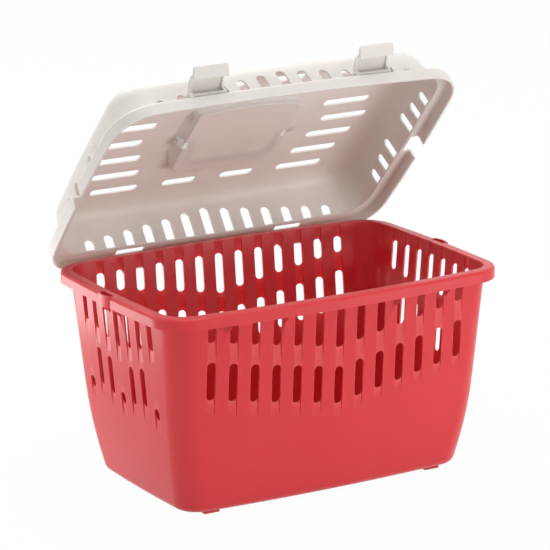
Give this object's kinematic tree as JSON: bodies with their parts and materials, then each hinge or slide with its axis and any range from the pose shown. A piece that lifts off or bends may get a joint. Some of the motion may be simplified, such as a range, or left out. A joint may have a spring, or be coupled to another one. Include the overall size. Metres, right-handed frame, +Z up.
{
  "type": "pet keeper basket with hinged lid",
  "caption": "Slotted red plastic pet keeper with a hinged pale lid standing open, two flip latches and a folding carry handle.",
  "frame": {"origin": "centre of the base's flat underside, between the four feet", "axes": "+X to the right along the length, +Y to the hinge side at the back, +Z up; the front with the latches faces -Y"},
  "size_m": [0.374, 0.2766, 0.4091],
  "materials": {
    "red_plastic": "injection moulded, semi-gloss, faint moulding texture",
    "pale_plastic": "injection moulded, satin, pale warm grey",
    "latch_plastic": "injection moulded, satin, pale grey"
  },
  "bodies": {
    "basket": {"basket": "red_plastic"},
    "lid": {"lid": "pale_plastic"},
    "latch_left": {"latch_left": "latch_plastic"},
    "latch_right": {"latch_right": "latch_plastic"},
    "handle": {"handle": "latch_plastic"}
  },
  "joints": [
    {"name": "lid_hinge", "type": "hinge", "parent": "basket", "child": "lid", "pos_m": [0, 0.1254, 0.1828], "axis": [-1, 0, 0], "range_deg": [-46.8, 58]},
    {"name": "latch_left_hinge", "type": "hinge", "parent": "lid", "child": "latch_left", "pos_m": [-0.088, -0.03246, 0.37778], "axis": [-1, 0, 0], "range_deg": [-121, 9]},
    {"name": "latch_right_hinge", "type": "hinge", "parent": "lid", "child": "latch_right", "pos_m": [0.088, -0.03246, 0.37778], "axis": [-1, 0, 0], "range_deg": [-121, 9]},
    {"name": "handle_hinge", "type": "hinge", "parent": "lid", "child": "handle", "pos_m": [0, 0.07761, 0.30995], "axis": [1, 0, 0], "range_deg": [0, 180]}
  ]
}
